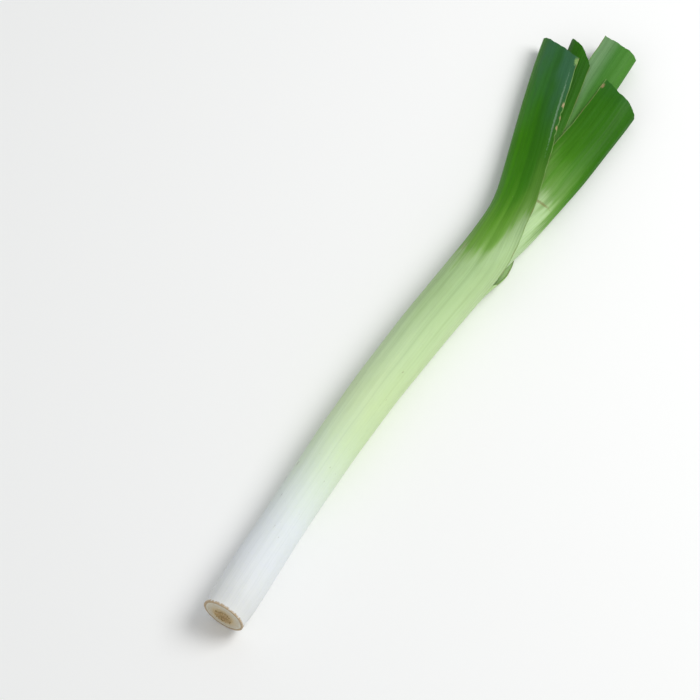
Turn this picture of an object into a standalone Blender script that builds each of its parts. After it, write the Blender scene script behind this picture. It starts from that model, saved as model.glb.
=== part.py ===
"""A trimmed leek lying on its side: seven nested leaves that grow from one root plate.

Metres, +Z up. The root end is at X = 0 before centring and the leaf tips point to +X. Each leaf is one
piece: a closed sheath that wraps the shaft, which opens on one side into a folded blade. The leaves
leave the shaft alternately to +Y and -Y, and every leaf lies inside the one that is numbered before it.
"""

import math

import bmesh
import bpy

MM = 0.001

# Shaft
BULB_AT = 14 * MM
WAIST_AT = 75 * MM  # the narrowest place
SHAFT_TOP_AT = 255 * MM  # where the shaft ends and the fan begins
TOP_SWELL = 2.2 * MM  # how much larger the shaft's radius is at its top than at its waist
BULB_SWELL = 0.5 * MM  # the same, at the bulb
RIM_NECK = 0.1 * MM  # how much smaller it is at the root cut than at its waist
BOW = 7.2 * MM  # how far the shaft bends to +Y between its ends

# Leaves
SHEATH_WALL = 1.4 * MM
BLADE_WALL = 1.0 * MM
CLEARANCE = 0.45 * MM  # between a leaf and the next one in
FAN_LENGTH = 110 * MM  # over which the round shaft flattens into the fan
FIRST_OPENING = SHAFT_TOP_AT - 15 * MM  # where the outermost sheath begins to open
OPENING_LENGTH = 66 * MM  # over which a sheath opens into a blade
WIDENING_LENGTH = 70 * MM  # over which a blade widens once the leaf around it has turned away
KEEL_SHARE = 0.6  # of a folded blade's width, the most that curves round to its keel
KEEL_SOFTNESS = 7 * MM  # how gently a keel turns away from the shaft

# Root plate
PLATE_STEP = 2.0 * MM  # each leaf is seated this much further up than the one outside it

# Meshes
SIDES = 22  # an even number that is not a multiple of four lays one flat side on the ground
SHEATH_SPANS = 5  # between the bulb and where the first sheath opens
FAN_SPACING = 11 * MM  # between rings in the fan, where sheaths open on one ring or another

# One entry per leaf, outermost first. opens_on: the fan ring where its sheath begins to open. bends and
# spread: how far past the shaft's top its keel turns away, and by how many degrees. relax: how far the
# keel's end comes back. wider: how much more than the shaft's radius the folded blade is from keel to
# margin. reach: how far past the shaft's top its furthest point is. slant: how much shorter the keel's end
# is than the margins' ends, below zero where the margins are shorter. taper: how far a pointed tip narrows
# before its end. lies: whether the blade sinks to the ground once it is clear of the leaf around it.
LEAVES = (
    dict(name="leaf_1_outer", side=1, opens_on=0, bends=51, spread=17.0, relax=7.6,
         wider=11.9, reach=165, slant=-8.0, taper=0.0, lies=False),
    dict(name="leaf_2", side=-1, opens_on=2, bends=9, spread=9.5, relax=6.2,
         wider=11.4, reach=155, slant=12.0, taper=0.0, lies=True),
    dict(name="leaf_3", side=1, opens_on=4, bends=63, spread=7.8, relax=0.0,
         wider=3.4, reach=173, slant=0.0, taper=16.0, lies=False),
    dict(name="leaf_4", side=-1, opens_on=5, bends=65, spread=1.6, relax=0.0,
         wider=8.4, reach=183, slant=3.5, taper=0.0, lies=False),
    dict(name="leaf_5", side=1, opens_on=6, bends=75, spread=0.0, relax=0.0,
         wider=-2.6, reach=147, slant=0.0, taper=8.0, lies=False),
    dict(name="leaf_6", side=-1, opens_on=7, bends=80, spread=0.0, relax=0.0,
         wider=-6.6, reach=135, slant=0.0, taper=7.0, lies=False),
)
HEART_REACH = 117  # past the shaft's top, as for the leaves
HEART_RADIUS = 1.3 * MM  # at the waist
HEART_HALF_HEIGHT = 0.9 * MM  # where the fan is flattest
HEART_TIP_HALF_WIDTH = 1.5 * MM
HEART_TIP_HALF_HEIGHT = 0.7 * MM

# The outside follows from what is inside it: the furled heart leaf and one wall and gap for each leaf
WAIST_RADIUS = HEART_RADIUS + len(LEAVES) * (SHEATH_WALL + CLEARANCE)
SHAFT_RADIUS = WAIST_RADIUS + TOP_SWELL
ROOT_RADIUS = WAIST_RADIUS + BULB_SWELL
RIM_RADIUS = WAIST_RADIUS - RIM_NECK
FAN_HALF_HEIGHT = HEART_HALF_HEIGHT + len(LEAVES) * (BLADE_WALL + CLEARANCE)


def smooth(t):
    """0 below 0, 1 above 1, and an S-curve between them."""
    t = min(max(t, 0.0), 1.0)
    return t * t * (3 - 2 * t)


def mix(a, b, t):
    return a + (b - a) * t


def track(stations, x):
    """The value at x on a smooth curve through (place, value) pairs."""
    places = [p for p, _ in stations]
    values = [v for _, v in stations]
    if x <= places[0]:
        return values[0]
    if x >= places[-1]:
        return values[-1]
    last = len(places) - 1
    slopes = [0.0] * (last + 1)
    for k in range(1, last):
        slopes[k] = (values[k + 1] - values[k - 1]) / (places[k + 1] - places[k - 1])
    slopes[last] = (values[last] - values[last - 1]) / (places[last] - places[last - 1])
    k = max(i for i in range(last) if places[i] <= x)
    span = places[k + 1] - places[k]
    t = (x - places[k]) / span
    return (
        (2 * t**3 - 3 * t**2 + 1) * values[k]
        + (t**3 - 2 * t**2 + t) * span * slopes[k]
        + (3 * t**2 - 2 * t**3) * values[k + 1]
        + (t**3 - t**2) * span * slopes[k + 1]
    )


def shaft_radius(x):
    return track(
        (
            (0.0, RIM_RADIUS),
            (BULB_AT, ROOT_RADIUS),
            (WAIST_AT, WAIST_RADIUS),
            (mix(WAIST_AT, SHAFT_TOP_AT, 0.5), mix(WAIST_RADIUS, SHAFT_RADIUS, 0.5)),
            (SHAFT_TOP_AT, SHAFT_RADIUS),
        ),
        x,
    )


def axis_y(x):
    """The sideways bow of the shaft's middle line."""
    return track(
        (
            (0.0, 0.7 * BOW),
            (0.27 * SHAFT_TOP_AT, 0.98 * BOW),
            (0.6 * SHAFT_TOP_AT, 0.96 * BOW),
            (0.84 * SHAFT_TOP_AT, 0.4 * BOW),
            (SHAFT_TOP_AT, -0.08 * BOW),
            (SHAFT_TOP_AT + 0.4 * FAN_LENGTH, -0.27 * BOW),
            (SHAFT_TOP_AT + 1.7 * FAN_LENGTH, 0.7 * BOW),
        ),
        x,
    )


def flattening(x):
    """0 along the round shaft, 1 where the fan is flat."""
    return smooth((x - SHAFT_TOP_AT + 0.1 * FAN_LENGTH) / FAN_LENGTH)


def wall_at(x):
    return mix(SHEATH_WALL, BLADE_WALL, flattening(x))


def inset(layer, x):
    """How far a leaf's outside is within that of the outermost leaf, layer 0."""
    return layer * (wall_at(x) + CLEARANCE)


def half_height(layer, x):
    return mix(shaft_radius(x), FAN_HALF_HEIGHT, flattening(x)) - inset(layer, x)


def opens_at(layer):
    return FIRST_OPENING + LEAVES[layer]["opens_on"] * FAN_SPACING


def bends_at(layer):
    return SHAFT_TOP_AT + LEAVES[layer]["bends"] * MM


def tip_at(layer):
    return SHAFT_TOP_AT + LEAVES[layer]["reach"] * MM


def opening(layer, x):
    """0 where a leaf is a closed sheath, 1 where it is fully a blade."""
    return smooth((x - opens_at(layer)) / OPENING_LENGTH)


def keel_reach(layer, x):
    """How far a leaf's keel is from the shaft's middle line, towards its own side."""
    leaf = LEAVES[layer]
    beyond = (x - bends_at(layer)) / KEEL_SOFTNESS
    run = KEEL_SOFTNESS * (math.log1p(math.exp(-abs(beyond))) + max(beyond, 0.0))
    tip_run = tip_at(layer) - bends_at(layer)
    back = leaf["relax"] * MM * min(run / tip_run, 1.0) ** 2
    return shaft_radius(x) - inset(layer, x) + math.tan(math.radians(leaf["spread"])) * run - back


def far_reach(layer, x):
    """How far from the middle line, on the same side, the straight part of a leaf's section ends.

    In a closed sheath the far side goes round from there. In a blade its margins are there.
    """
    closed = half_height(layer, x) + inset(layer, x) - shaft_radius(x)
    folded = keel_reach(layer, x) - SHAFT_RADIUS - LEAVES[layer]["wider"] * MM
    if layer == 0:
        return mix(closed, folded, opening(layer, x))
    return mix(closed, folded, smooth((x - bends_at(layer - 1)) / WIDENING_LENGTH))


def section(layer, x):
    """A leaf's outside across X as (from its keel, up) pairs, from one margin round its keel to the other.

    It goes round the keel, then straight, then round the far side as far as the sheath is still closed.
    """
    up = half_height(layer, x)
    turn = math.pi / 2 * (1 - opening(layer, x))
    width = keel_reach(layer, x) - far_reach(layer, x)
    departure = keel_reach(layer, x) + inset(layer, x) - shaft_radius(x)
    nose = min(up + max(departure, 0.0), max(up, KEEL_SHARE * width), width)
    straight = width - nose
    round_keel = math.pi / 4 * (nose + up)
    whole = round_keel + straight + up * turn
    pairs = []
    for k in range(SIDES + 1):
        share = 2 * k / SIDES - 1
        run = abs(share) * whole
        if run < round_keel:
            angle = math.pi / 2 * run / round_keel
            pair = (nose * (1 - math.cos(angle)), up * math.sin(angle))
        elif run < round_keel + straight:
            pair = (nose + run - round_keel, up)
        else:
            angle = (run - round_keel - straight) / up
            pair = (nose + straight + up * math.sin(angle), up * math.cos(angle))
        pairs.append((pair[0], math.copysign(pair[1], share)))
    return pairs


def axis_z(x):
    """The height of the shaft's middle, which lays the outermost leaf on the ground."""
    return max(up for _, up in section(0, x))


def middle_z(layer, x):
    """The height of a leaf's keel: a blade that is clear of the outermost leaf lies on the ground."""
    if not LEAVES[layer]["lies"]:
        return axis_z(x)
    clear_at = bends_at(0) + 0.5 * FAN_LENGTH
    return mix(axis_z(x), half_height(layer, x), smooth((x - clear_at) / (0.4 * FAN_LENGTH)))


def leaf_point(layer, x, corner):
    """A point on a leaf's outside at x, at one of its section's corners."""
    across, up = section(layer, x)[corner]
    y = axis_y(x) + LEAVES[layer]["side"] * (keel_reach(layer, x) - across)
    return (x, y, middle_z(layer, x) + up)


def ring_places(start, end):
    """Where the rings of a piece are. All pieces share them, so that nested walls stay parallel."""
    bulb = 1.4 * BULB_AT
    places = [mix(bulb, FIRST_OPENING, k / SHEATH_SPANS) for k in range(SHEATH_SPANS)]
    places += [FIRST_OPENING + k * FAN_SPACING for k in range(int(1 + (end - FIRST_OPENING) / FAN_SPACING))]
    return [start] + [x for x in places if start < x < end - 0.3 * FAN_SPACING] + [end]


def tip_shift(layer, share):
    """How far short of its furthest point a leaf ends, at a share of the way from keel to margin."""
    leaf = LEAVES[layer]
    cut = max(leaf["slant"], 0.0) - leaf["slant"] * share
    return (cut + leaf["taper"] * share**2) * MM


def make_material(name, colour, roughness):
    material = bpy.data.materials.new(name)
    material.use_nodes = True
    shader = material.node_tree.nodes["Principled BSDF"]
    shader.inputs["Base Color"].default_value = (*colour, 1.0)
    shader.inputs["Roughness"].default_value = roughness
    shader.inputs["Metallic"].default_value = 0.0
    return material


def add_object(name, bm, material):
    bmesh.ops.recalc_face_normals(bm, faces=bm.faces)
    mesh = bpy.data.meshes.new(name)
    bm.to_mesh(mesh)
    bm.free()
    mesh.shade_smooth()
    mesh.set_sharp_from_angle(angle=math.radians(40))
    mesh.materials.append(material)
    obj = bpy.data.objects.new(name, mesh)
    bpy.context.scene.collection.objects.link(obj)
    obj.parent = bpy.data.objects["leek"]
    return obj


def make_leaf(layer, material):
    """A sheet with a closed sheath and an open blade, thickened inwards by a Solidify modifier."""
    bm = bmesh.new()
    wall = bm.verts.layers.deform.verify()
    opened = opens_at(layer)
    start = layer * PLATE_STEP + (CLEARANCE if layer else 0.0)
    tip = tip_at(layer)
    rings = []
    for x in ring_places(start, tip):
        along = max((x - opened) / (tip - opened), 0.0)
        ring = []
        for k in range(SIDES + 1):
            if x <= opened and k == SIDES:
                ring.append(ring[0])
                continue
            place = x - along * tip_shift(layer, abs(2 * k / SIDES - 1))
            vert = bm.verts.new(leaf_point(layer, place, k))
            vert[wall][0] = wall_at(place) / SHEATH_WALL
            ring.append(vert)
        rings.append(ring)
    for low, high in zip(rings, rings[1:]):
        for k in range(SIDES):
            corners = [low[k], low[k + 1], high[k + 1], high[k]]
            if k < SIDES // 2:
                corners = corners[1:] + corners[:1]  # splits each quad as its mirror image is split
            bm.faces.new(corners)
    obj = add_object(LEAVES[layer]["name"], bm, material)
    obj.vertex_groups.new(name="wall")
    if outward(obj) < 0:
        obj.data.flip_normals()
    solidify = obj.modifiers.new("wall", "SOLIDIFY")
    solidify.thickness = SHEATH_WALL
    solidify.offset = -1.0
    solidify.vertex_group = "wall"
    return obj


def outward(obj):
    """Above zero if the first face of a sheath points away from the shaft's middle line."""
    face = obj.data.polygons[0]
    x, y, z = face.center
    return face.normal.y * (y - axis_y(x)) + face.normal.z * (z - axis_z(x))


def lofted(rings):
    """A closed skin over rings of points, with a flat face on each end."""
    bm = bmesh.new()
    loops = [[bm.verts.new(point) for point in ring] for ring in rings]
    for low, high in zip(loops, loops[1:]):
        for k in range(len(low)):
            after = (k + 1) % len(low)
            bm.faces.new((low[k], low[after], high[after], high[k]))
    bm.faces.new(loops[0])
    bm.faces.new(loops[-1])
    return bm


def round_ring(x, across, up):
    turns = [math.pi * (2 * k / SIDES - 1) for k in range(SIDES)]
    y, z = axis_y(x), axis_z(x)
    return [(x, y + across * math.cos(a), z + up * math.sin(a)) for a in turns]


def make_heart(material):
    """The youngest leaf: still furled tight, so it is a solid spear."""
    layer = len(LEAVES)
    start = layer * PLATE_STEP + CLEARANCE
    rings = []
    for x in ring_places(start, SHAFT_TOP_AT + HEART_REACH * MM):
        taper = smooth((x - SHAFT_TOP_AT) / (HEART_REACH * MM))
        across = mix(shaft_radius(x) - inset(layer, x), HEART_TIP_HALF_WIDTH, taper)
        up = mix(half_height(layer, x), HEART_TIP_HALF_HEIGHT, taper)
        rings.append(round_ring(x, across, up))
    return add_object("heart_leaf", lofted(rings), material)


def make_root_plate(material):
    """The short stem that every leaf grows from: a stepped cone that seats one sheath on each step."""
    rings = []
    for layer in range(len(LEAVES)):
        for x in (layer * PLATE_STEP, (layer + 1) * PLATE_STEP):
            radius = shaft_radius(x) - inset(layer + 1, x)
            rings.append(round_ring(x, radius, radius))
    return add_object("root_plate", lofted(rings), material)


def main():
    for obj in list(bpy.data.objects):
        bpy.data.objects.remove(obj)
    leek = bpy.data.objects.new("leek", None)
    bpy.context.scene.collection.objects.link(leek)
    green = make_material("leaf_green", (0.10, 0.26, 0.05), 0.45)
    pale = make_material("leaf_pale", (0.42, 0.60, 0.24), 0.45)
    tan = make_material("root_tan", (0.42, 0.32, 0.18), 0.85)
    made = [make_leaf(layer, green) for layer in range(4)]
    made += [make_leaf(layer, pale) for layer in range(4, len(LEAVES))]
    made.append(make_heart(pale))
    made.append(make_root_plate(tan))
    bpy.context.view_layer.update()
    graph = bpy.context.evaluated_depsgraph_get()
    xs, ys, zs = [], [], []
    for obj in made:
        for vert in obj.evaluated_get(graph).data.vertices:
            xs.append(vert.co.x)
            ys.append(vert.co.y)
            zs.append(vert.co.z)
    leek.location = (-(min(xs) + max(xs)) / 2, -(min(ys) + max(ys)) / 2, -min(zs))


main()
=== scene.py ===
"""A trimmed leek lying on its side: seven nested leaves that grow from one root plate.

Leaves are shaped in millimetres from the root cut, along +X, as they grow: every leaf starts as a closed
sheath round the shaft and opens on one side into a folded blade. MM turns lengths into metres.
"""

import math

import bpy
import numpy as np
from mathutils import Matrix, Vector


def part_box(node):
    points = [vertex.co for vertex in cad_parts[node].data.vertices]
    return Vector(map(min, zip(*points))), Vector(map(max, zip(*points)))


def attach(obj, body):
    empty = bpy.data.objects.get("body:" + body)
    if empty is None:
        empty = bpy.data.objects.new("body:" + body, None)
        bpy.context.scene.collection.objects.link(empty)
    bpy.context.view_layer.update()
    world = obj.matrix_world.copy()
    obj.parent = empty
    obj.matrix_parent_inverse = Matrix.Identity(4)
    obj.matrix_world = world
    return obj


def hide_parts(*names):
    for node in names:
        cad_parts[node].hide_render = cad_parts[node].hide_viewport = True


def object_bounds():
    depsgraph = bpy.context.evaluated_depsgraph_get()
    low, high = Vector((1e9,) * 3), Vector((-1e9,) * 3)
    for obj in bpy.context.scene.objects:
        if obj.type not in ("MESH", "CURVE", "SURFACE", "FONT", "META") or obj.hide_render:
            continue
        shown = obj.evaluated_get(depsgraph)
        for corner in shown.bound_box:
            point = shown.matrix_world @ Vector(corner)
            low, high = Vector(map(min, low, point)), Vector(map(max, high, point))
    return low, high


MM = 0.001

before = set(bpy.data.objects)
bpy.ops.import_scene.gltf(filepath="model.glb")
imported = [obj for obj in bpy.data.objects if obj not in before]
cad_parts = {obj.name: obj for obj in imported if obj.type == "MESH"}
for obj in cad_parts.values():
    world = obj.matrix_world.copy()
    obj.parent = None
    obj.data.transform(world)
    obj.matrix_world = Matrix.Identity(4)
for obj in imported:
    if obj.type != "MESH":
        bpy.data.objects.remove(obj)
cad_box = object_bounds()

# Where the leek lies: the middle of its root cut, from the frame
root_low, root_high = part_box("root_plate")
ROOT_X = root_low.x / MM
ROOT_Y = (root_low.y + root_high.y) / 2 / MM
LEEK_LENGTH = (cad_box[1][0] - cad_box[0][0]) / MM

# Shaft
BULB_AT = 14.0
WAIST_AT = 75.0  # the narrowest place
SHAFT_TOP_AT = 255.0  # where the shaft ends and the fan begins
TOP_SWELL = 2.2  # how much larger the shaft's radius is at its top than at its waist
BULB_SWELL = 0.5  # the same, at the bulb
RIM_NECK = 0.1  # how much smaller it is at the root cut than at its waist
BOW = 7.2  # how far the shaft bends sideways between its ends

# Leaves
SHEATH_WALL = 1.4
BLADE_WALL = 1.0
CLEARANCE = 0.45  # between a leaf and the next one in
FAN_LENGTH = 110.0  # over which the round shaft flattens into the fan
FIRST_OPENING = SHAFT_TOP_AT - 15.0  # where the outermost sheath begins to open
OPENING_LENGTH = 66.0  # over which a sheath opens into a blade
WIDENING_LENGTH = 70.0  # over which a blade widens once the leaf around it has turned away
KEEL_SHARE = 0.6  # of a folded blade's width, the most that curves round to its keel
KEEL_SOFTNESS = 7.0  # how gently a keel turns away from the shaft
PLATE_STEP = 2.0  # each leaf is seated this much further up than the one outside it
FAN_SPACING = 11.0  # between places in the fan, where sheaths open at one or another
MARGIN_WALL = 0.45  # share of the wall that is left at a leaf's thin margins
OUTER_LEAVES = 4  # leaves whose blades show, each with a skin of its own; the leaves inside them share one

# How the leaves vary. Each wave is (length, height, start), in mm and radians
SIDEWAYS_SWAY = ((97.0, 0.25, 0.4), (41.0, 0.12, 2.0))
BLADE_SWAY = ((52.0, 0.45, 1.0),)
CROSS_SWAY = ((19.0, 0.3, 0.3),)
KNIFE_STEPS = ((17.0, 0.2, 0.0), (6.3, 0.1, 1.0), (2.9, 0.05, 2.0))
MARGIN_WANDER = ((23.0, 0.16, 0.0), (9.1, 0.08, 1.0))
RIBS = ((4.6, 0.045, 0.0), (3.3, 0.03, 1.1), (7.7, 0.05, 2.2))
RIB_DRIFT = ((160.0, 0.8, 0.0), (61.0, 0.3, 1.0))
NICKS = ((362, 1.1), (369, 0.7), (378, 1.3))  # where the outermost leaf is nicked, and how deep
NICK_SPREAD = 1.6  # how far a nick reaches to either side
TUCK_AT = 284.0  # where the outermost leaf's lower margin is tucked in furthest
TUCK_SPREAD = 28.0
TUCK_DEPTH = 5.0

# Growth map: the UV map that the patterns follow, along and round a leaf, in shares of these lengths
MAP_LENGTH = 500.0
MAP_ROUND = 100.0
HALF_ROUND = 45.0  # keel to margin, round half a sheath
HEART_HALF_ROUND = 20.0  # the same, for the furled heart leaf
SEAM_GAP = 0.002  # points closer than this are one

# One entry per leaf, outermost first. opens_on: the fan ring where its sheath begins to open. bends and
# spread: how far past the shaft's top its keel turns away, and by how many degrees. relax: how far the
# keel's end comes back. wider: how much more than the shaft's radius it is from keel to margin. reach: how
# far past the shaft's top its furthest point is. slant: how much shorter the keel's end is than the margins'
# ends, below zero where the margins are shorter. taper: how far a pointed tip narrows before its end. lies:
# whether the blade sinks to the ground once it is clear of the leaf around it. rows, columns: cells of its
# sheet along its shaft and its blade, and round it.
LEAVES = (
    dict(name="leaf_1_outer", side=1, opens_on=0, bends=51, spread=17.0, relax=7.6,
         wider=11.9, reach=165, slant=-8.0, taper=0.0, lies=False, rows=(210, 190), columns=92),
    dict(name="leaf_2", side=-1, opens_on=2, bends=9, spread=9.5, relax=6.2,
         wider=11.4, reach=155, slant=12.0, taper=0.0, lies=True, rows=(60, 190), columns=88),
    dict(name="leaf_3", side=1, opens_on=4, bends=63, spread=7.8, relax=0.0,
         wider=3.4, reach=173, slant=0.0, taper=16.0, lies=False, rows=(50, 180), columns=64),
    dict(name="leaf_4", side=-1, opens_on=5, bends=65, spread=1.6, relax=0.0,
         wider=8.4, reach=183, slant=3.5, taper=0.0, lies=False, rows=(50, 190), columns=76),
    dict(name="leaf_5", side=1, opens_on=6, bends=75, spread=0.0, relax=0.0,
         wider=-2.6, reach=147, slant=0.0, taper=8.0, lies=False, rows=(40, 110), columns=48),
    dict(name="leaf_6", side=-1, opens_on=7, bends=80, spread=0.0, relax=0.0,
         wider=-6.6, reach=135, slant=0.0, taper=7.0, lies=False, rows=(40, 100), columns=40),
)
HEART_REACH = 117.0  # past the shaft's top, as for the leaves
HEART_RADIUS = 1.3  # at the waist
HEART_HALF_HEIGHT = 0.9  # where the fan is flattest
HEART_TIP_HALF_WIDTH = 1.5
HEART_TIP_HALF_HEIGHT = 0.7

# The outside follows from what is inside it: the furled heart leaf and one wall and gap for each leaf
WAIST_RADIUS = HEART_RADIUS + len(LEAVES) * (SHEATH_WALL + CLEARANCE)
SHAFT_RADIUS = WAIST_RADIUS + TOP_SWELL
ROOT_RADIUS = WAIST_RADIUS + BULB_SWELL
RIM_RADIUS = WAIST_RADIUS - RIM_NECK
FAN_HALF_HEIGHT = HEART_HALF_HEIGHT + len(LEAVES) * (BLADE_WALL + CLEARANCE)

# Root cut
CUT_RADIUS = RIM_RADIUS - SHEATH_WALL + 0.15  # the root plate is grown together with the outer sheath
CORE_RADIUS = 5.6  # of the rough core that the roots grew from
CUT_RINGS = 14  # steps of the mesh from rim to middle
RING_SPACING = 1.85  # between the low rings round the core
CUT_DOME = 0.25  # how far the cut face stands out from its rim
CORE_RISE = 0.55  # how much further its core does
ROOT_CIRCLES = ((1.4, 5), (2.7, 10), (3.9, 15), (5.0, 20))  # radius, and how many roots grew on it

# Camera, in metres
TURN = math.radians(58.73)  # how far the leek points away from the camera's right, on the floor
RISE = math.radians(60)  # how steeply the camera looks down
AIM = Vector((-0.0431, 0.0235, 0.012))  # the point it looks at
AWAY = 1.8  # how far it is from there
LENS = 165  # its focal length in millimetres


# ---------------------------------------------------------------- shapes along the leek


def smooth(t):
    t = np.clip(t, 0.0, 1.0)
    return t * t * (3 - 2 * t)


def mix(a, b, t):
    return a + (b - a) * t


def track(stations, x):
    """The value at x on a smooth curve through (place, value) pairs."""
    places, values = np.array(stations, float).T
    slopes = np.zeros(len(places))
    slopes[1:-1] = (values[2:] - values[:-2]) / (places[2:] - places[:-2])
    slopes[-1] = (values[-1] - values[-2]) / (places[-1] - places[-2])
    k = np.clip(np.searchsorted(places, x, side="right") - 1, 0, len(places) - 2)
    span = places[k + 1] - places[k]
    t = np.clip((x - places[k]) / span, 0.0, 1.0)
    return (
        (2 * t**3 - 3 * t**2 + 1) * values[k]
        + (t**3 - 2 * t**2 + t) * span * slopes[k]
        + (3 * t**2 - 2 * t**3) * values[k + 1]
        + (t**3 - t**2) * span * slopes[k + 1]
    )


def shaft_radius(x):
    halfway = (mix(WAIST_AT, SHAFT_TOP_AT, 0.5), mix(WAIST_RADIUS, SHAFT_RADIUS, 0.5))
    stations = ((0.0, RIM_RADIUS), (BULB_AT, ROOT_RADIUS), (WAIST_AT, WAIST_RADIUS), halfway,
                (SHAFT_TOP_AT, SHAFT_RADIUS))
    return track(stations, x)


def axis_y(x):
    """The sideways bow of the shaft's middle line, from its place at the root cut."""
    stations = ((0.0, 0.7), (0.27 * SHAFT_TOP_AT, 0.98), (0.6 * SHAFT_TOP_AT, 0.96),
                (0.84 * SHAFT_TOP_AT, 0.4), (SHAFT_TOP_AT, -0.08),
                (SHAFT_TOP_AT + 0.4 * FAN_LENGTH, -0.27), (SHAFT_TOP_AT + 1.7 * FAN_LENGTH, 0.7))
    return ROOT_Y + BOW * (track(stations, x) - stations[0][1])


def flattening(x):
    """0 along the round shaft, 1 where the fan is flat."""
    return smooth((x - SHAFT_TOP_AT + 0.1 * FAN_LENGTH) / FAN_LENGTH)


def wall_at(x):
    return mix(SHEATH_WALL, BLADE_WALL, flattening(x))


def inset(layer, x):
    """How far a leaf's outside is within that of the outermost leaf, layer 0."""
    return layer * (wall_at(x) + CLEARANCE)


def half_height(layer, x):
    return mix(shaft_radius(x), FAN_HALF_HEIGHT, flattening(x)) - inset(layer, x)


def opens_at(layer):
    return FIRST_OPENING + LEAVES[layer]["opens_on"] * FAN_SPACING


def bends_at(layer):
    return SHAFT_TOP_AT + LEAVES[layer]["bends"]


def tip_at(layer):
    return SHAFT_TOP_AT + LEAVES[layer]["reach"]


def opening(layer, x):
    """0 where a leaf is a closed sheath, 1 where it is fully a blade."""
    return smooth((x - opens_at(layer)) / OPENING_LENGTH)


def keel_reach(layer, x):
    """How far a leaf's keel is from the shaft's middle line, towards its own side."""
    leaf = LEAVES[layer]
    run = KEEL_SOFTNESS * np.logaddexp(0.0, (x - bends_at(layer)) / KEEL_SOFTNESS)
    tip_run = tip_at(layer) - bends_at(layer)
    back = leaf["relax"] * np.minimum(run / tip_run, 1.0) ** 2
    return shaft_radius(x) - inset(layer, x) + math.tan(math.radians(leaf["spread"])) * run - back


def far_reach(layer, x):
    """How far from the middle line, on the same side, the straight part of a leaf's section ends."""
    closed = half_height(layer, x) + inset(layer, x) - shaft_radius(x)
    folded = keel_reach(layer, x) - SHAFT_RADIUS - LEAVES[layer]["wider"]
    if layer == 0:
        return mix(closed, folded, opening(layer, x))
    return mix(closed, folded, smooth((x - bends_at(layer - 1)) / WIDENING_LENGTH))


def section(layer, x, share):
    """(from the keel, up) on a leaf's outside at x. share runs from -1 at one margin to 1 at the other."""
    up = half_height(layer, x)
    turn = math.pi / 2 * (1 - opening(layer, x))
    width = keel_reach(layer, x) - far_reach(layer, x)
    departure = keel_reach(layer, x) + inset(layer, x) - shaft_radius(x)
    nose = np.minimum(up + np.maximum(departure, 0.0), np.maximum(up, KEEL_SHARE * width))
    nose = np.minimum(nose, width)
    straight = width - nose
    round_keel = math.pi / 4 * (nose + up)
    run = np.abs(share) * (round_keel + straight + up * turn)
    keel_angle = math.pi / 2 * np.minimum(run / round_keel, 1.0)
    far_angle = np.maximum(run - round_keel - straight, 0.0) / up
    flat = np.clip(run - round_keel, 0.0, straight)
    across = nose * (1 - np.cos(keel_angle)) + flat + up * np.sin(far_angle)
    height = up * np.where(run < round_keel, np.sin(keel_angle), np.cos(far_angle))
    return across, np.copysign(height, share)


def middle_z(layer, x):
    """The height of a leaf's keel: a blade that is clear of the outermost leaf lies on the ground."""
    if not LEAVES[layer]["lies"]:
        return half_height(0, x)
    clear_at = bends_at(0) + 0.5 * FAN_LENGTH
    lying = smooth((x - clear_at) / (0.4 * FAN_LENGTH))
    return mix(half_height(0, x), half_height(layer, x), lying)


def waves(x, pattern):
    """A smooth wander along x, as a sum of (length, height, start) waves."""
    return sum(height * np.sin(2 * math.pi * x / length + start) for length, height, start in pattern)


def sway(points):
    """Bends all the leaves together a little, as they grew, and leaves the ground where it is."""
    x, y, z = points.T
    raised = np.clip(z / (2 * SHAFT_RADIUS), 0.0, 1.0)
    dy = waves(x, SIDEWAYS_SWAY) * raised
    fan = smooth((x - SHAFT_TOP_AT) / FAN_LENGTH)
    dz = raised * fan * (waves(x + 1.3 * y, BLADE_SWAY) + waves(y - 0.2 * x, CROSS_SWAY))
    return np.stack((x, y + dy, z + dz), axis=1)


# ---------------------------------------------------------------- modelling


def deselect():
    if bpy.context.mode != "OBJECT":
        bpy.ops.object.mode_set(mode="OBJECT")
    bpy.ops.object.select_all(action="DESELECT")


def select_only(piece):
    deselect()
    piece.select_set(True)
    bpy.context.view_layer.objects.active = piece


def get_points(piece):
    points = np.empty(len(piece.data.vertices) * 3)
    piece.data.vertices.foreach_get("co", points)
    return points.reshape(-1, 3)


def set_points(piece, points):
    piece.data.vertices.foreach_set("co", np.ascontiguousarray(points, float).ravel())
    piece.data.update()


def loop_points(mesh):
    """The index of the point at each corner of each face."""
    found = np.empty(len(mesh.loops), np.int32)
    mesh.loops.foreach_get("vertex_index", found)
    return found


def set_growth(piece, along, off_keel):
    """Writes the growth map from each point's place along and round its leaf, in mm."""
    shares = np.stack((along / MAP_LENGTH, 0.5 + off_keel / MAP_ROUND), axis=1)
    corners = shares[loop_points(piece.data)]
    piece.data.uv_layers["growth"].data.foreach_set("uv", corners.ravel())


def get_growth(piece):
    """Each point's place along and round its leaf in mm, read back from its growth map."""
    mesh = piece.data
    corners = np.empty(len(mesh.loops) * 2)
    mesh.uv_layers["growth"].data.foreach_get("uv", corners)
    shares = np.zeros((len(mesh.vertices), 2))
    shares[loop_points(mesh)] = corners.reshape(-1, 2)
    return shares[:, 0] * MAP_LENGTH, (shares[:, 1] - 0.5) * MAP_ROUND


def close_seam(piece):
    """Joins the points where the two margins of a sheet meet."""
    select_only(piece)
    bpy.ops.object.mode_set(mode="EDIT")
    bpy.ops.mesh.select_all(action="SELECT")
    bpy.ops.mesh.remove_doubles(threshold=SEAM_GAP * MM)
    bpy.ops.object.mode_set(mode="OBJECT")


def to_world(points):
    """Millimetres from the root cut to metres in the frame."""
    return (points + np.array((ROOT_X, 0.0, 0.0))) * MM


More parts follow.
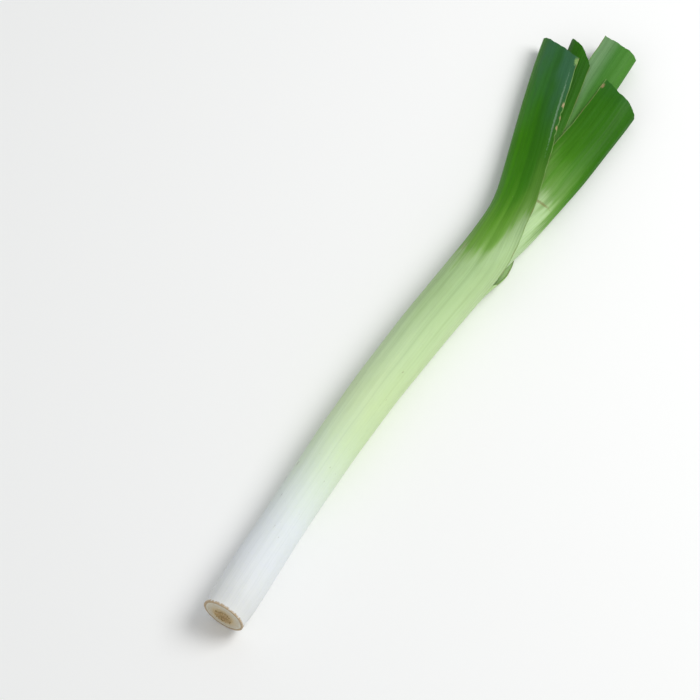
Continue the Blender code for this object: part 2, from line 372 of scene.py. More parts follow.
def finish_piece(piece, node, materials, angle=40):
    """Gives a piece its materials and smooth shading, and puts it in the place of its CAD node."""
    for material in materials:
        piece.data.materials.append(material)
    select_only(piece)
    bpy.ops.object.shade_smooth_by_angle(angle=math.radians(angle))
    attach(piece, "root")
    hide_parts(node)
    deselect()


def grid_sheet(name, rows, columns):
    """A flat sheet of rows along and columns across, with its UV map running 0 to 1 both ways."""
    deselect()
    bpy.ops.mesh.primitive_grid_add(x_subdivisions=rows, y_subdivisions=columns, size=1, calc_uvs=True)
    sheet = bpy.context.object
    sheet.name = name
    sheet.data.name = name
    sheet.data.uv_layers[0].name = "growth"
    return sheet


def leaf_places(layer, share_along):
    """Where along the leek each share of a leaf's length is: rows are closer together where they show."""
    leaf = LEAVES[layer]
    start = layer * PLATE_STEP + (CLEARANCE if layer else 0.0)
    hidden = leaf["rows"][0] / sum(leaf["rows"])
    return np.interp(share_along, (0.0, hidden, 1.0), (start, FIRST_OPENING - 10.0, tip_at(layer)))


def cut_shift(layer, x, share):
    """How far short of its furthest point a leaf ends, with the small steps that a knife leaves."""
    leaf = LEAVES[layer]
    opened = opens_at(layer)
    along = np.clip((x - opened) / (tip_at(layer) - opened), 0.0, 1.0)
    cut = max(leaf["slant"], 0.0) - leaf["slant"] * np.abs(share) + leaf["taper"] * share**2
    ragged = 0.35 + waves(share * HALF_ROUND + 11 * layer, KNIFE_STEPS)
    return along * cut + along**12 * ragged


def dip(x, at, spread):
    """1 at one place along the leek, fading to 0 either side of it."""
    return np.exp(-(((x - at) / spread) ** 2))


def drawn_back(layer, x, share):
    """How far a point is drawn back towards the keel, in mm.

    Every margin wanders a little. The outermost leaf's upper margin has nicks, and its lower one is tucked
    in under the shaft where the sheath opens.
    """
    wander = 0.25 + waves(x + 40 * layer + 9 * np.sign(share), MARGIN_WANDER)
    at_margin = smooth(4 * opening(layer, x)) * np.abs(share) ** 14
    if layer:
        return wander * at_margin
    nicks = sum(depth * dip(x, at, NICK_SPREAD) for at, depth in NICKS)
    tuck = TUCK_DEPTH * dip(x, TUCK_AT, TUCK_SPREAD) * np.abs(share) ** 3 * opening(layer, x)
    return (wander + np.where(share > 0, nicks, 0.0)) * at_margin + np.where(share < 0, tuck, 0.0)


def make_leaf(layer, skin, lining, edge):
    """One leaf, from the root plate to its cut end: a sheet rolled into a sheath and opened into a blade."""
    leaf = LEAVES[layer]
    piece = grid_sheet(leaf["name"] + "_grown", sum(leaf["rows"]), leaf["columns"])
    flat = get_points(piece) + 0.5
    share = 2 * flat[:, 1] - 1
    x = leaf_places(layer, flat[:, 0])
    bent = share * (1 - drawn_back(layer, x, share) / HALF_ROUND)
    place = x - cut_shift(layer, x, share)
    across, up = section(layer, place, bent)
    y = axis_y(place) + leaf["side"] * (keel_reach(layer, place) - across)
    points = sway(np.stack((place, y, middle_z(layer, place) + up), axis=1))
    set_points(piece, to_world(points))
    set_growth(piece, place, share * HALF_ROUND)
    closed = 1 - smooth(6 * opening(layer, x))
    margin = HALF_ROUND * (1 - np.abs(share)) + 60.0 * closed
    piece.data.attributes.new("margin", "FLOAT", "POINT").data.foreach_set("value", margin)

    close_seam(piece)
    if outward(piece.data, axis_y(place[0])) < 0:
        piece.data.flip_normals()
    raise_ribs(piece)
    thicken(piece)
    finish_piece(piece, leaf["name"], (skin, lining, edge))


def outward(mesh, middle_y):
    """Above zero if a sheath's first face points away from the shaft's middle line."""
    face = mesh.polygons[0]
    _, y, z = face.center
    return face.normal.y * (y - middle_y * MM) + face.normal.z * (z - half_height(0, 0.0) * MM)


def raise_ribs(piece):
    """The low ribs over the larger veins, which run the whole length of a leaf."""
    along, off_keel = get_growth(piece)
    normals = np.empty(len(piece.data.vertices) * 3)
    piece.data.vertices.foreach_get("normal", normals)
    ribs = waves(np.abs(off_keel + waves(along, RIB_DRIFT)), RIBS)
    clear_of_margin = smooth((HALF_ROUND - np.abs(off_keel)) / 4.0)
    raised = ribs * clear_of_margin * mix(0.35, 1.0, smooth(along / 200.0))
    set_points(piece, get_points(piece) + normals.reshape(-1, 3) * raised[:, None] * MM)


def thicken(piece):
    """Gives the sheet its wall, inwards, thin at the margins."""
    along, _ = get_growth(piece)
    margin = np.empty(len(piece.data.vertices))
    piece.data.attributes["margin"].data.foreach_get("value", margin)
    wall = wall_at(along) / SHEATH_WALL * mix(MARGIN_WALL, 1.0, smooth(margin / 5.0))
    group = piece.vertex_groups.new(name="wall")
    for step in np.unique(np.round(wall, 2)):
        group.add(np.nonzero(np.round(wall, 2) == step)[0].tolist(), float(step), "REPLACE")
    solidify = piece.modifiers.new("wall", "SOLIDIFY")
    solidify.thickness = SHEATH_WALL * MM
    solidify.offset = -1.0
    solidify.vertex_group = "wall"
    solidify.material_offset = 1
    solidify.material_offset_rim = 2
    select_only(piece)
    bpy.ops.object.modifier_apply(modifier="wall")


def make_heart(skin):
    """The youngest leaf, still furled: a sheet rolled into a spear with a blunt tip, its ends closed."""
    layer = len(LEAVES)
    start = layer * PLATE_STEP + CLEARANCE
    piece = grid_sheet("heart_leaf_grown", 160, 40)
    flat = get_points(piece) + 0.5
    share = 2 * flat[:, 1] - 1
    tip = SHAFT_TOP_AT + HEART_REACH
    x = start + (tip - start) * flat[:, 0]
    taper = smooth((x - SHAFT_TOP_AT) / HEART_REACH)
    round_tip = np.sqrt(np.clip((tip - x) / 2.5, 0.0, 1.0))
    wide = mix(shaft_radius(x) - inset(layer, x), HEART_TIP_HALF_WIDTH, taper) * round_tip
    tall = mix(half_height(layer, x), HEART_TIP_HALF_HEIGHT, taper) * round_tip
    angle = math.pi * share
    y = axis_y(x) + wide * np.cos(angle)
    z = half_height(0, x) + tall * np.sin(angle)
    set_points(piece, to_world(sway(np.stack((x, y, z), axis=1))))
    set_growth(piece, x, share * HEART_HALF_ROUND)
    close_seam(piece)
    bpy.ops.object.mode_set(mode="EDIT")
    bpy.ops.mesh.select_all(action="DESELECT")
    bpy.ops.mesh.select_non_manifold()
    bpy.ops.mesh.edge_face_add()
    bpy.ops.mesh.select_all(action="SELECT")
    bpy.ops.mesh.normals_make_consistent(inside=False)
    bpy.ops.object.mode_set(mode="OBJECT")
    finish_piece(piece, "heart_leaf", (skin,))


def make_root_plate(tissue, root_ends):
    """The cut stem: a disc with fine rings and a raised rough core, on the stepped cone under the leaves."""
    deselect()
    bpy.ops.mesh.primitive_cylinder_add(vertices=96, radius=CUT_RADIUS * MM, depth=PLATE_STEP * MM,
                                        end_fill_type="NGON", rotation=(0, math.pi / 2, 0))
    piece = bpy.context.object
    piece.name = "root_plate_grown"
    piece.data.name = piece.name
    bpy.ops.object.transform_apply(location=True, rotation=True, scale=True)
    select_end(piece, +1)
    radius = CUT_RADIUS
    for layer in range(1, len(LEAVES)):
        x = (layer + 0.5) * PLATE_STEP
        stepped = shaft_radius(x) - inset(layer + 1, x)
        bpy.ops.mesh.inset(thickness=float(radius - stepped) * MM)
        bpy.ops.mesh.extrude_region_move(TRANSFORM_OT_translate={"value": (PLATE_STEP * MM, 0, 0)})
        radius = stepped
    select_end(piece, -1)
    for _ in range(CUT_RINGS):
        bpy.ops.mesh.inset(thickness=(CUT_RADIUS - 1.0) / CUT_RINGS * MM)
    bpy.ops.mesh.poke()
    bpy.ops.object.mode_set(mode="OBJECT")
    points = get_points(piece) / MM
    points[:, 0] += PLATE_STEP / 2
    radius = np.hypot(points[:, 1], points[:, 2])
    angle = np.arctan2(points[:, 2], points[:, 1])
    on_cut = points[:, 0] < 0.01
    rough = 0.10 * np.sin(5 * angle + 1.4 * radius) + 0.07 * np.sin(11 * angle - 2.1 * radius)
    core = smooth((CORE_RADIUS + 0.8 - radius) / 1.6)
    rings = 0.09 * np.sin(2 * math.pi * radius / RING_SPACING) * (1 - core)
    dome = CUT_DOME * smooth((CUT_RADIUS - radius) / 2.0)
    relief = dome + rough * (0.4 + 1.6 * core) + CORE_RISE * core + rings
    points[on_cut, 0] -= relief[on_cut]
    points[:, 1] += axis_y(points[:, 0])
    points[:, 2] += half_height(0, np.maximum(points[:, 0], 0.0))
    set_points(piece, to_world(points))
    finish_piece(piece, "root_plate", (tissue,), angle=50)
    make_root_ends(root_ends)


def select_end(piece, direction):
    """Into edit mode with only the end face that looks along X selected."""
    select_only(piece)
    bpy.ops.object.mode_set(mode="EDIT")
    bpy.ops.mesh.select_mode(type="FACE")
    bpy.ops.mesh.select_all(action="DESELECT")
    bpy.ops.object.mode_set(mode="OBJECT")
    furthest = max(direction * face.center.x for face in piece.data.polygons)
    for face in piece.data.polygons:
        face.select = direction * face.center.x > furthest - SEAM_GAP * MM
    bpy.ops.object.mode_set(mode="EDIT")


def make_root_ends(material):
    """The ends of the roots, trimmed off just above the core: small stubs, each a little different."""
    chance = np.random.default_rng(7)
    deselect()
    stubs = []
    for circle, count in ROOT_CIRCLES:
        for k in range(count):
            angle = 2 * math.pi * (k + chance.uniform(-0.3, 0.3)) / count
            radius = circle + chance.uniform(-0.3, 0.3)
            thick = chance.uniform(0.35, 0.6)
            tall = chance.uniform(0.3, 0.9)
            x = ROOT_X - 0.45 - tall / 2
            y = ROOT_Y + radius * math.cos(angle)
            z = half_height(0, 0.0) + radius * math.sin(angle)
            bpy.ops.mesh.primitive_cone_add(vertices=10, radius1=thick * MM, radius2=0.72 * thick * MM,
                                            depth=tall * MM, location=Vector((x, y, z)) * MM,
                                            rotation=(0, -math.pi / 2, 0))
            stubs.append(bpy.context.object)
    for stub in stubs:
        stub.select_set(True)
    bpy.context.view_layer.objects.active = stubs[0]
    bpy.ops.object.join()
    piece = bpy.context.object
    piece.name = "root_ends"
    piece.data.name = piece.name
    bpy.ops.object.transform_apply(location=True, rotation=True, scale=True)
    bevel = piece.modifiers.new("worn", "BEVEL")
    bevel.width = 0.08 * MM
    bevel.segments = 2
    bpy.ops.object.modifier_apply(modifier="worn")
    finish_piece(piece, "root_plate", (material,), angle=50)


# ---------------------------------------------------------------- materials


WAX_IOR = 1.45  # of plant wax and fibre, and near enough of paper

# Patterns of the leaf skin, as how long along the leaf and how wide across it a patch is, in mm. The finest
# veins are under half a millimetre apart, too fine to show, so they are drawn a little coarser.
VEINS = (400.0, 0.6)
STREAKS = (60.0, 1.5)
BANDS = (110.0, 7.0)
PATCHES = (22.0, 5.0)
DUSTING = (60.0, 22.0)
DRY_EDGE = (12.0, 3.0)
BRUISES = (4.0, 1.5)
RAGGED_CUT = (3.0, 1.6)
LINING_STREAKS = (90.0, 1.6)
VEIN_ENDS = (60.0, 0.5)

# Colours along the leek, as (mm from the root cut, colour)
OUTER_GREENS = ((4, "#E0E2E0"), (36, "#E0E5E8"), (60, "#DFE6E6"), (80, "#DBE6DD"), (100, "#D3E4CB"),
                (120, "#CAE0B8"), (145, "#C5DCAA"), (185, "#B8D49E"), (220, "#A5C686"), (248, "#9ABE7B"),
                (255, "#8DB467"), (262, "#7CA751"), (270, "#6E9D40"), (288, "#5E922C"), (303, "#47801A"),
                (318, "#38760A"), (345, "#2E6A06"), (380, "#28620E"), (420, "#265A1C"))
SECOND_GREENS = ((20, "#E6EBEA"), (200, "#D8E8C2"), (288, "#A9CC8B"), (296, "#8FB76C"), (303, "#76A151"),
                 (316, "#64963B"), (332, "#458116"), (352, "#346F08"), (375, "#2E6A07"), (410, "#29620B"))
THIRD_GREENS = ((20, "#E6EBEA"), (280, "#C6DC9C"), (350, "#3F7A1C"), (392, "#2A6008"), (428, "#2C6809"))
FOURTH_GREENS = ((20, "#E6EBEA"), (290, "#B7D492"), (350, "#5C8E3A"), (390, "#457C2E"), (438, "#467E33"))
INNER_GREENS = ((20, "#EDF1E4"), (250, "#D8E5AC"), (330, "#AFCE74"), (400, "#7CAB44"))
# The lining's paleness from 250 to 330 mm is partly painted light: light let through the thin leaf where the
# lining lies in shade
LINING_GREENS_AND_PAINTED_LIGHT = ((20, "#EEF2EA"), (250, "#E2EFC8"), (330, "#CBE2A8"), (380, "#8DB965"), (420, "#6BA343"))
FLESH_GREENS = ((0.5, "#C6BCA0"), (6, "#DDDACB"), (250, "#CFE2B0"), (330, "#93BB62"), (420, "#7FAF4C"))
YELLOWED = ((61.3, "#000000"), (131.4, "#FFFFFF"), (157.7, "#FFFFFF"), (236.5, "#000000"))

# One entry per skin. collar_at: where sheath becomes blade, at the keel. lag: how far from the keel the
# colours begin to lag and how far they lag most, and by how many mm. keel_highlight_and_shade,
# margin_tone_and_shade: the tone of that part of the blade and how strong it is. Along the keel the tone is
# a painted highlight, and painted shade on the second leaf, whose keel lies on the side away from the light;
# towards the outermost leaf's margins, on that same side, it is painted shade. bloom_from: where the wax
# begins. seed: moves the patterns. marks: how far along and round the leaf each is, its length and width in
# mm, its colour and how strong it is.
SKINS = (
    dict(name="waxy_leaf_skin_outer", greens=OUTER_GREENS, collar_at=258.0, lag=(26.0, 42.0, 40.0),
         keel_highlight_and_shade=("#48900C", 0.60), margin_tone_and_shade=("#1E4E12", 0.45), bloom_from=350.0, seed=1.0,
         marks=((362, 44.2, 2.4, 2.0, "#B09A74", 0.85), (369, 44.4, 2.0, 1.8, "#A38E66", 0.8),
                # The long pale blue-grey streak at 372 mm, 40.2 mm round, is a painted highlight over wax
                # bloom
                (378, 44.0, 3.0, 2.4, "#B8A37E", 0.85), (372, 40.2, 40.0, 1.7, "#96B098", 0.34),
                (409, 43.4, 4.5, 3.2, "#9CBE6A", 0.6), (262, 12.0, 5.0, 2.4, "#93A070", 0.6),
                (96, 9.0, 3.0, 1.4, "#B9B9AC", 0.6))),
    dict(name="waxy_leaf_skin_second", greens=SECOND_GREENS, collar_at=299.0, lag=(2.0, 20.0, 20.0),
         keel_highlight_and_shade=("#2A6204", 0.60), margin_tone_and_shade=("#265C10", 0.25), bloom_from=392.0, seed=2.3,
         marks=((312, 20.5, 1.7, 13.0, "#7F7645", 0.65), (404, 43.6, 3.0, 2.4, "#9C8260", 0.8))),
    dict(name="waxy_leaf_skin_third", greens=THIRD_GREENS, collar_at=300.0, lag=(28.0, 45.0, 20.0),
         keel_highlight_and_shade=("#32740A", 0.40), margin_tone_and_shade=("#2C5E1C", 0.30), bloom_from=430.0, seed=3.1, marks=()),
    dict(name="waxy_leaf_skin_fourth", greens=FOURTH_GREENS, collar_at=300.0, lag=(28.0, 45.0, 20.0),
         keel_highlight_and_shade=("#4A8420", 0.40), margin_tone_and_shade=("#86A67C", 0.60), bloom_from=430.0, seed=4.7, marks=()),
    dict(name="waxy_leaf_skin_inner", greens=INNER_GREENS, collar_at=340.0, lag=(28.0, 45.0, 20.0),
         keel_highlight_and_shade=("#7CAB44", 0.30), margin_tone_and_shade=("#8FBB5C", 0.20), bloom_from=420.0, seed=5.9, marks=()),
)


def colour(code):
    """An sRGB hex colour as linear RGBA."""
    parts = [int(code[k:k + 2], 16) / 255 for k in (1, 3, 5)]
    return (*(c / 12.92 if c <= 0.04045 else ((c + 0.055) / 1.055) ** 2.4 for c in parts), 1.0)


def plug(tree, node, inputs):
    """Sets a node's inputs. Each is a value, or the socket or node whose output is linked to it."""
    for name, value in inputs.items():
        source = value.outputs[0] if isinstance(value, bpy.types.Node) else value
        if isinstance(source, bpy.types.NodeSocket):
            tree.links.new(source, node.inputs[name])
        else:
            node.inputs[name].default_value = source


def add(tree, kind, inputs, stops=(), **settings):
    """Adds a node with its settings and links. Stops, as (place, colour), fill a colour ramp."""
    node = tree.nodes.new(kind)
    for name, value in settings.items():
        setattr(node, name, value)
    plug(tree, node, inputs)
    for place, code in stops:
        node.color_ramp.elements.new(place).color = colour(code)
    if stops:
        node.color_ramp.elements.remove(node.color_ramp.elements[0])
        node.color_ramp.elements.remove(node.color_ramp.elements[-1])
    return node


def new_material(name):
    material = bpy.data.materials.new(name)
    material.use_nodes = True
    shader = material.node_tree.nodes["Principled BSDF"]
    shader.inputs["IOR"].default_value = WAX_IOR
    return material, material.node_tree, shader


def growth_lines(tree):
    """Millimetres along and round the leaf, from its growth map."""
    grown = add(tree, "ShaderNodeUVMap", {}, uv_map="growth")
    return add(tree, "ShaderNodeMapping", {"Vector": grown, "Location": (0, -0.5 * MAP_ROUND, 0),
                                           "Scale": (MAP_LENGTH, MAP_ROUND, 1)})


def grain(tree, lines, patch, detail=2.0, shift=0.0):
    """Noise drawn out along the leaf, in patches of a given length and width in mm."""
    length, width = patch
    drawn = add(tree, "ShaderNodeMapping", {"Vector": lines, "Location": (shift, 3.7 * shift, 0),
                                            "Scale": (1 / length, 1 / width, 1)})
    return add(tree, "ShaderNodeTexNoise", {"Vector": drawn, "Scale": 1.0, "Detail": detail})


def wandering(tree, value, pattern, reach):
    """A value that a noise pattern carries up or down, by up to half of reach either way."""
    swing = add(tree, "ShaderNodeMath", {0: pattern, 1: 0.5}, operation="SUBTRACT")
    return add(tree, "ShaderNodeMath", {0: swing, 1: reach, 2: value}, operation="MULTIPLY_ADD")


def tone_along(tree, place, tones):
    """The colour at a place along the leek."""
    share = add(tree, "ShaderNodeMath", {0: place, 1: LEEK_LENGTH}, operation="DIVIDE")
    stops = [(at / LEEK_LENGTH, code) for at, code in tones]
    return add(tree, "ShaderNodeValToRGB", {"Fac": share}, stops)


def tint(tree, base, masks, over, amount, blend="MIX"):
    """The base colour with another over it where all the masks are 1, as far as amount."""
    for mask in masks:
        amount = add(tree, "ShaderNodeMath", {0: mask, 1: amount}, operation="MULTIPLY")
    over = colour(over) if isinstance(over, str) else over
    mixed = add(tree, "ShaderNodeMix", {"Factor": amount, "A": base, "B": over}, data_type="RGBA",
                blend_type=blend)
    return mixed.outputs["Result"]


def mark(tree, lines, at, off_keel, length, width):
    """A mask for a soft-edged uneven oval on the leaf, by its place along and round it in mm."""
    centred = add(tree, "ShaderNodeMapping", {"Vector": lines, "Scale": (1 / length, 1 / width, 0),
                                              "Location": (-at / length, -off_keel / width, 0)})
    far = add(tree, "ShaderNodeVectorMath", {0: centred}, operation="LENGTH").outputs["Value"]
    uneven = add(tree, "ShaderNodeTexNoise", {"Vector": lines, "Scale": 0.9, "Detail": 2.0})
    far = wandering(tree, far, uneven, 1.2)
    return add(tree, "ShaderNodeMapRange", {"Value": far, "From Min": 0.75, "From Max": 0.3})


def leaf_skin(name, greens, collar_at, lag, keel_highlight_and_shade, margin_tone_and_shade, bloom_from, seed, marks):
    """Leek leaf skin: waxy cuticle over parallel veins.

    The wax gives a soft broad sheen, and a blue-grey bloom on the blades. The veins show as fine lines that
    run the whole length. At the collar, where sheath becomes blade, the colour deepens within a few
    millimetres.
    """
    material, tree, shader = new_material(name)
    lines = growth_lines(tree)
    place = add(tree, "ShaderNodeSeparateXYZ", {0: lines})
    along = place.outputs["X"]
    off_keel = add(tree, "ShaderNodeMath", {0: place.outputs["Y"], 1: 0.0}, operation="ABSOLUTE")
    streaks = grain(tree, lines, STREAKS, 3.0, seed)
    bands = grain(tree, lines, BANDS, 2.0, seed + 5)
    patches = grain(tree, lines, PATCHES, 3.0, seed + 9)
    veins = grain(tree, lines, VEINS, 1.0, seed + 13)

    # Colour by place along the leaf. It lags away from the keel near the collar, and the patterns carry it
    # up and down, but not at the root
    upper = add(tree, "ShaderNodeMapRange", {"Value": along, "From Min": 130.0, "From Max": 230.0})
    lagging = add(tree, "ShaderNodeMapRange", {"Value": off_keel, "From Min": lag[0], "From Max": lag[1],
                                               "To Max": -lag[2]}, interpolation_type="SMOOTHSTEP")
    level = add(tree, "ShaderNodeMath", {0: lagging, 1: upper, 2: along}, operation="MULTIPLY_ADD")
    clear = add(tree, "ShaderNodeMapRange", {"Value": along, "From Min": 20.0, "From Max": 190.0})
    drift = wandering(tree, 0.0, streaks, 22.0)
    drift = wandering(tree, drift, bands, 40.0)
    drift = wandering(tree, drift, patches, 26.0)
    grown = add(tree, "ShaderNodeMath", {0: drift, 1: clear, 2: level}, operation="MULTIPLY_ADD")
    skin = tone_along(tree, grown, greens)

    # The sheath is paler than the blade up to the collar, which is uneven
    collar = wandering(tree, wandering(tree, level, patches, 12.0), streaks, 16.0)
    before = add(tree, "ShaderNodeMapRange", {"Value": collar, "From Min": collar_at - 4.0,
                                              "From Max": collar_at + 6.0, "To Min": 1.0, "To Max": 0.0},
                 interpolation_type="SMOOTHSTEP")
    skin = tint(tree, skin, (before,), "#FFF7EC", 0.09, "SCREEN")

    # The blade has one tone along its keel and another towards its margins. Along the keel it is a painted
    # highlight, and painted shade on the second leaf, whose keel lies on the side away from the light;
    # towards the outermost leaf's margins, on that same side, it is painted shade.
    blade = add(tree, "ShaderNodeMapRange", {"Value": along, "From Min": collar_at + 10.0,
                                             "From Max": collar_at + 60.0})
    near_keel = add(tree, "ShaderNodeMapRange", {"Value": off_keel, "From Min": 27.0, "From Max": 12.0})
    skin = tint(tree, skin, (blade, near_keel), *keel_highlight_and_shade)
    near_margin = add(tree, "ShaderNodeMapRange", {"Value": off_keel, "From Min": 24.0, "From Max": 36.0})
    skin = tint(tree, skin, (blade, near_margin), *margin_tone_and_shade)

    # Fine darker grooves between the veins, soft stripes and mottling, all fainter on the white shaft
    depth = add(tree, "ShaderNodeMapRange", {"Value": along, "From Min": 90.0, "From Max": 330.0,
                                             "To Min": 0.30})
    grooves = add(tree, "ShaderNodeMapRange", {"Value": veins, "From Min": 0.5, "From Max": 0.30})
    skin = tint(tree, skin, (grooves, depth), "#B9C4B4", 0.34, "MULTIPLY")
    stripes = add(tree, "ShaderNodeMapRange", {"Value": streaks, "From Min": 0.48, "From Max": 0.30})
    skin = tint(tree, skin, (stripes, depth), "#BCC8B8", 0.24, "MULTIPLY")
    mottling = add(tree, "ShaderNodeMapRange", {"Value": patches, "From Min": 0.52, "From Max": 0.34})
    skin = tint(tree, skin, (mottling, depth), "#C6D0BA", 0.22, "MULTIPLY")

    # A yellower green low on the shaft, away from the keel
    far_side = add(tree, "ShaderNodeMapRange", {"Value": off_keel, "From Min": 16.0, "From Max": 34.0})
    skin = tint(tree, skin, (far_side, tone_along(tree, grown, YELLOWED)), "#C4E07E", 0.17)

    # Bloom: blue-grey wax, in broad patches on the blade away from its keel
    waxed = add(tree, "ShaderNodeMapRange", {"Value": along, "From Min": bloom_from,
                                             "From Max": bloom_from + 45.0})
    dusting = add(tree, "ShaderNodeMath", {0: waxed, 1: 0.22, 2: grain(tree, lines, DUSTING, 2.0, seed + 17)},
                  operation="MULTIPLY_ADD")
    dusted = add(tree, "ShaderNodeMapRange", {"Value": dusting, "From Min": 0.46, "From Max": 0.68})
    beside_keel = add(tree, "ShaderNodeMapRange", {"Value": off_keel, "From Min": 6.0, "From Max": 16.0})
    skin = tint(tree, skin, (waxed, dusted, beside_keel), "#386449", 0.75)

    # A thin pale edge at the margins, dry and brownish in places
    margin = add(tree, "ShaderNodeAttribute", {}, attribute_name="margin").outputs["Fac"]
    edge = add(tree, "ShaderNodeMapRange", {"Value": margin, "From Min": 1.1, "From Max": 0.2})
    dryness = add(tree, "ShaderNodeValToRGB", {"Fac": grain(tree, lines, DRY_EDGE, 2.0, seed + 21)},
                  ((0.42, "#7FA45C"), (0.56, "#6F7F45"), (0.66, "#94805A")))
    skin = tint(tree, skin, (edge,), dryness, 0.8)

    # Small grey-brown marks where the leaf was bruised
    bruises = grain(tree, lines, BRUISES, 2.0, seed + 31)
    bruised = add(tree, "ShaderNodeMapRange", {"Value": bruises, "From Min": 0.725, "From Max": 0.79})
    skin = tint(tree, skin, (bruised,), "#8A8163", 0.6)

    # The dry rim at the root cut, ragged like the cut itself
    rim = wandering(tree, along, grain(tree, lines, RAGGED_CUT, 3.0, seed + 41), -3.0)
    rim = add(tree, "ShaderNodeMapRange", {"Value": rim, "From Min": 1.3, "From Max": 0.3})
    skin = tint(tree, skin, (rim,), "#B29872", 0.9)
    # The listed marks; the outermost leaf's long blue-grey streak among them is a painted highlight over wax
    # bloom
    for at, off, length, width, code, amount in marks:
        skin = tint(tree, skin, (mark(tree, lines, at, off, length, width),), code, amount)

    rough = add(tree, "ShaderNodeMapRange", {"Value": streaks, "From Min": 0.3, "From Max": 0.7,
                                             "To Min": 0.36, "To Max": 0.52})
    ridges = add(tree, "ShaderNodeMath", {0: streaks, 1: 0.12}, operation="MULTIPLY")
    relief = add(tree, "ShaderNodeMath", {0: veins, 1: 0.10, 2: ridges}, operation="MULTIPLY_ADD")
    bump = add(tree, "ShaderNodeBump", {"Height": relief, "Distance": MM, "Strength": 0.8})
    plug(tree, shader, {"Base Color": skin, "Roughness": rough, "Normal": bump, "Specular IOR Level": 0.12,
                        "Subsurface Weight": 0.10, "Subsurface Radius": (1.0, 1.0, 0.6),
                        "Subsurface Scale": 1.2 * MM})
    return material


def leaf_lining():
    """The inner skin of a leaf: smooth and moist, lighter than the outside, with faint veins. From 250 to 330
    mm it is painted paler still, as light let through the thin leaf where it lies in shade.
    """
    material, tree, shader = new_material("moist_leaf_lining")
    lines = growth_lines(tree)
    streaks = grain(tree, lines, LINING_STREAKS, 2.0, 6.3)
    along = add(tree, "ShaderNodeSeparateXYZ", {0: lines}).outputs["X"]
    green = tone_along(tree, wandering(tree, along, streaks, 60.0), LINING_GREENS_AND_PAINTED_LIGHT)
    bump = add(tree, "ShaderNodeBump", {"Height": streaks, "Distance": 0.15 * MM, "Strength": 0.7})
    plug(tree, shader, {"Base Color": green, "Roughness": 0.32, "Normal": bump})
    return material


def cut_flesh():
    """The wall of a leaf where it is cut: moist pale flesh with the veins as darker dots."""
    material, tree, shader = new_material("cut_leaf_flesh")
    lines = growth_lines(tree)
    along = add(tree, "ShaderNodeSeparateXYZ", {0: lines}).outputs["X"]
    ends = grain(tree, lines, VEIN_ENDS, 1.0, 7.7)
    dots = add(tree, "ShaderNodeMapRange", {"Value": ends, "From Min": 0.52, "From Max": 0.66})
    flesh = tint(tree, tone_along(tree, along, FLESH_GREENS), (dots,), "#5C8A3C", 0.45)
    plug(tree, shader, {"Base Color": flesh, "Roughness": 0.45})
    return material


def root_tissue():
    """The cut stem: dry corky tissue, cream towards the rim and tan in the core, speckled and blotched."""
    material, tree, shader = new_material("cut_root_tissue")
    where = add(tree, "ShaderNodeTexCoord", {}).outputs["Object"]
    centre = (-ROOT_X * MM, -ROOT_Y * MM, -float(half_height(0, 0.0)) * MM)
    centred = add(tree, "ShaderNodeMapping", {"Vector": where, "Location": centre})
    flat = add(tree, "ShaderNodeVectorMath", {0: centred, 1: (0, 1, 1)}, operation="MULTIPLY")
    radius = add(tree, "ShaderNodeVectorMath", {0: flat}, operation="LENGTH").outputs["Value"]
    blotches = add(tree, "ShaderNodeTexNoise", {"Vector": centred, "Scale": 1 / (2.2 * MM), "Detail": 4.0})
    grit = add(tree, "ShaderNodeTexNoise", {"Vector": centred, "Scale": 1 / (0.5 * MM), "Detail": 3.0})
    spread = wandering(tree, radius, blotches, 3.4 * MM)
    share = add(tree, "ShaderNodeMath", {0: spread, 1: CUT_RADIUS * MM}, operation="DIVIDE")
    tissue = add(tree, "ShaderNodeValToRGB", {"Fac": share},
                 ((0.0, "#AE9365"), (0.40, "#B69B73"), (0.52, "#C6B28B"), (0.66, "#CDC0A3"),
                  (0.85, "#D0C7B3"), (0.97, "#D7D4C3")))
    specks = add(tree, "ShaderNodeMapRange", {"Value": grit, "From Min": 0.60, "From Max": 0.70})
    bump = add(tree, "ShaderNodeBump", {"Height": grit, "Distance": 0.35 * MM, "Strength": 0.9})
    plug(tree, shader, {"Base Color": tint(tree, tissue, (specks,), "#C9B06C", 0.7), "Roughness": 0.8,
                        "Normal": bump})
    return material


def root_fibre():
    """Trimmed root ends: dry fibre, cream-brown, lighter in places where the cut is fresh."""
    material, tree, shader = new_material("trimmed_root_fibre")
    where = add(tree, "ShaderNodeTexCoord", {}).outputs["Object"]
    fibre = add(tree, "ShaderNodeTexNoise", {"Vector": where, "Scale": 1 / (1.1 * MM), "Detail": 3.0})
    tone = add(tree, "ShaderNodeValToRGB", {"Fac": fibre},
               ((0.32, "#92774F"), (0.50, "#B79E6E"), (0.66, "#D6C48F")))
    bump = add(tree, "ShaderNodeBump", {"Height": fibre, "Distance": 0.2 * MM, "Strength": 0.8})
    plug(tree, shader, {"Base Color": tone, "Roughness": 0.75, "Normal": bump})
    return material


# ---------------------------------------------------------------- scene


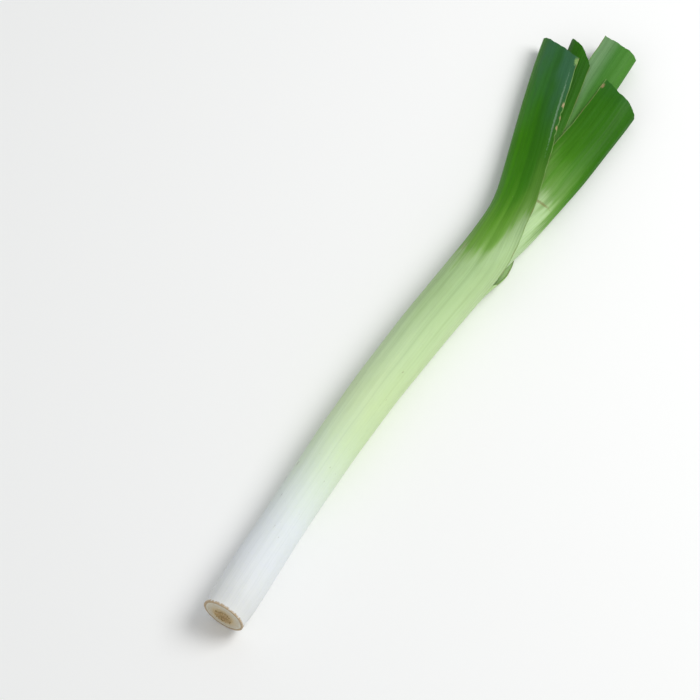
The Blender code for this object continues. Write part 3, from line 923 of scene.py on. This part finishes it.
def make_floor():
    """A pale matt sheet of paper that the leek lies on."""
    deselect()
    bpy.ops.mesh.primitive_plane_add(size=6.0, location=(0, 0, -0.05 * MM))
    floor = bpy.context.object
    floor.name = "floor"
    material, tree, shader = new_material("matt_studio_paper")
    plug(tree, shader, {"Base Color": colour("#F8F8F6"), "Roughness": 0.9, "Specular IOR Level": 0.1})
    floor.data.materials.append(material)
    deselect()


def add_light(name, size, power, place):
    """A soft box that looks at the leek."""
    light = bpy.data.lights.new(name, "AREA")
    light.shape = "RECTANGLE"
    light.size, light.size_y = size
    light.energy = power
    lamp = bpy.data.objects.new(name, light)
    bpy.context.scene.collection.objects.link(lamp)
    lamp.location = place
    lamp.rotation_euler = (-Vector(place)).to_track_quat("-Z", "Y").to_euler()


def light_scene():
    """Soft even light from all round, a large soft box high to the right and a weak one to the left."""
    world = bpy.data.worlds.new("studio")
    bpy.context.scene.world = world
    world.use_nodes = True
    sky = world.node_tree.nodes["Background"]
    sky.inputs["Color"].default_value = colour("#F7F9FC")
    sky.inputs["Strength"].default_value = 0.50
    add_light("key", (0.9, 0.9), 17.5, (0.65, -0.75, 1.25))
    add_light("fill", (1.2, 0.8), 1.5, (-1.1, 0.5, 0.9))
    bpy.context.scene.view_settings.view_transform = "Standard"


def place_camera():
    """A long lens above the root end, with the leek running up and to the right."""
    right = Vector((math.cos(TURN), -math.sin(TURN), 0))
    ahead = Vector((math.sin(TURN), math.cos(TURN), 0)) * math.cos(RISE) - Vector((0, 0, math.sin(RISE)))
    lens = bpy.data.cameras.new("camera")
    lens.lens = LENS
    camera = bpy.data.objects.new("camera", lens)
    bpy.context.scene.collection.objects.link(camera)
    turned = Matrix((right, right.cross(ahead), -ahead)).transposed().to_4x4()
    camera.matrix_world = Matrix.Translation(AIM - ahead * AWAY) @ turned
    bpy.context.scene.camera = camera


def main():
    place_camera()
    skins = [leaf_skin(**skin) for skin in SKINS]
    lining = leaf_lining()
    flesh = cut_flesh()
    for layer in range(len(LEAVES)):
        make_leaf(layer, skins[min(layer, OUTER_LEAVES)], lining, flesh)
    make_heart(skins[OUTER_LEAVES])
    make_root_plate(root_tissue(), root_fibre())
    make_floor()
    light_scene()


main()
